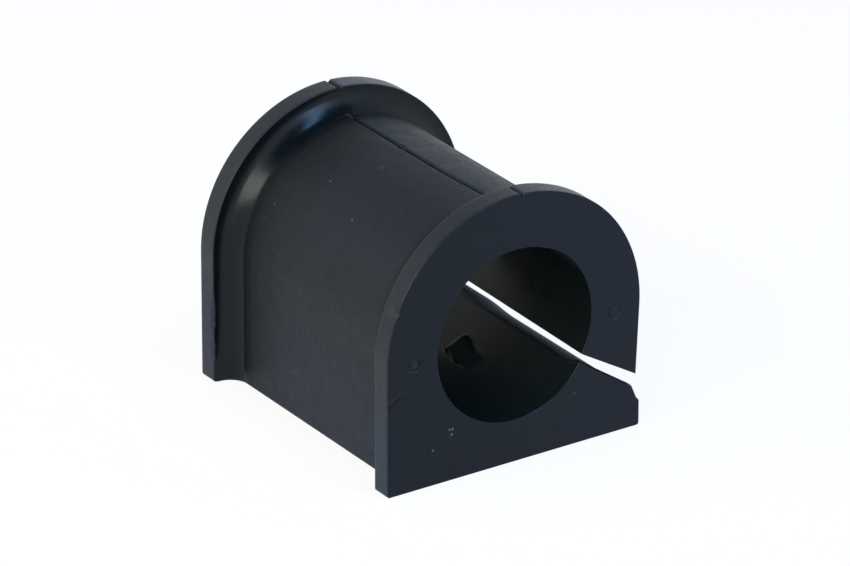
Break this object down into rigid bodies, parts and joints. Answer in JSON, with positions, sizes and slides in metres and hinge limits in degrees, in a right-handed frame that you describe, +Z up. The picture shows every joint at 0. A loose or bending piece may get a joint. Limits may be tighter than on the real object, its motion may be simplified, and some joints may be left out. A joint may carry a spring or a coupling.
{
  "type": "sway bar bushing",
  "caption": "Moulded rubber stabiliser bar bushing: an arched block on a flat base, with end flanges, a round bore and a slit through one side.",
  "frame": {"origin": "middle of the flat base", "axes": "+Z up from the base through the bore, +Y along the bore from the marked end to the plain end, +X across the block towards the side with the slit"},
  "size_m": [0.05, 0.0564, 0.0479],
  "materials": {
    "black_rubber": "satin moulded black rubber"
  },
  "bodies": {
    "root": {"bushing": "black_rubber"}
  },
  "joints": []
}
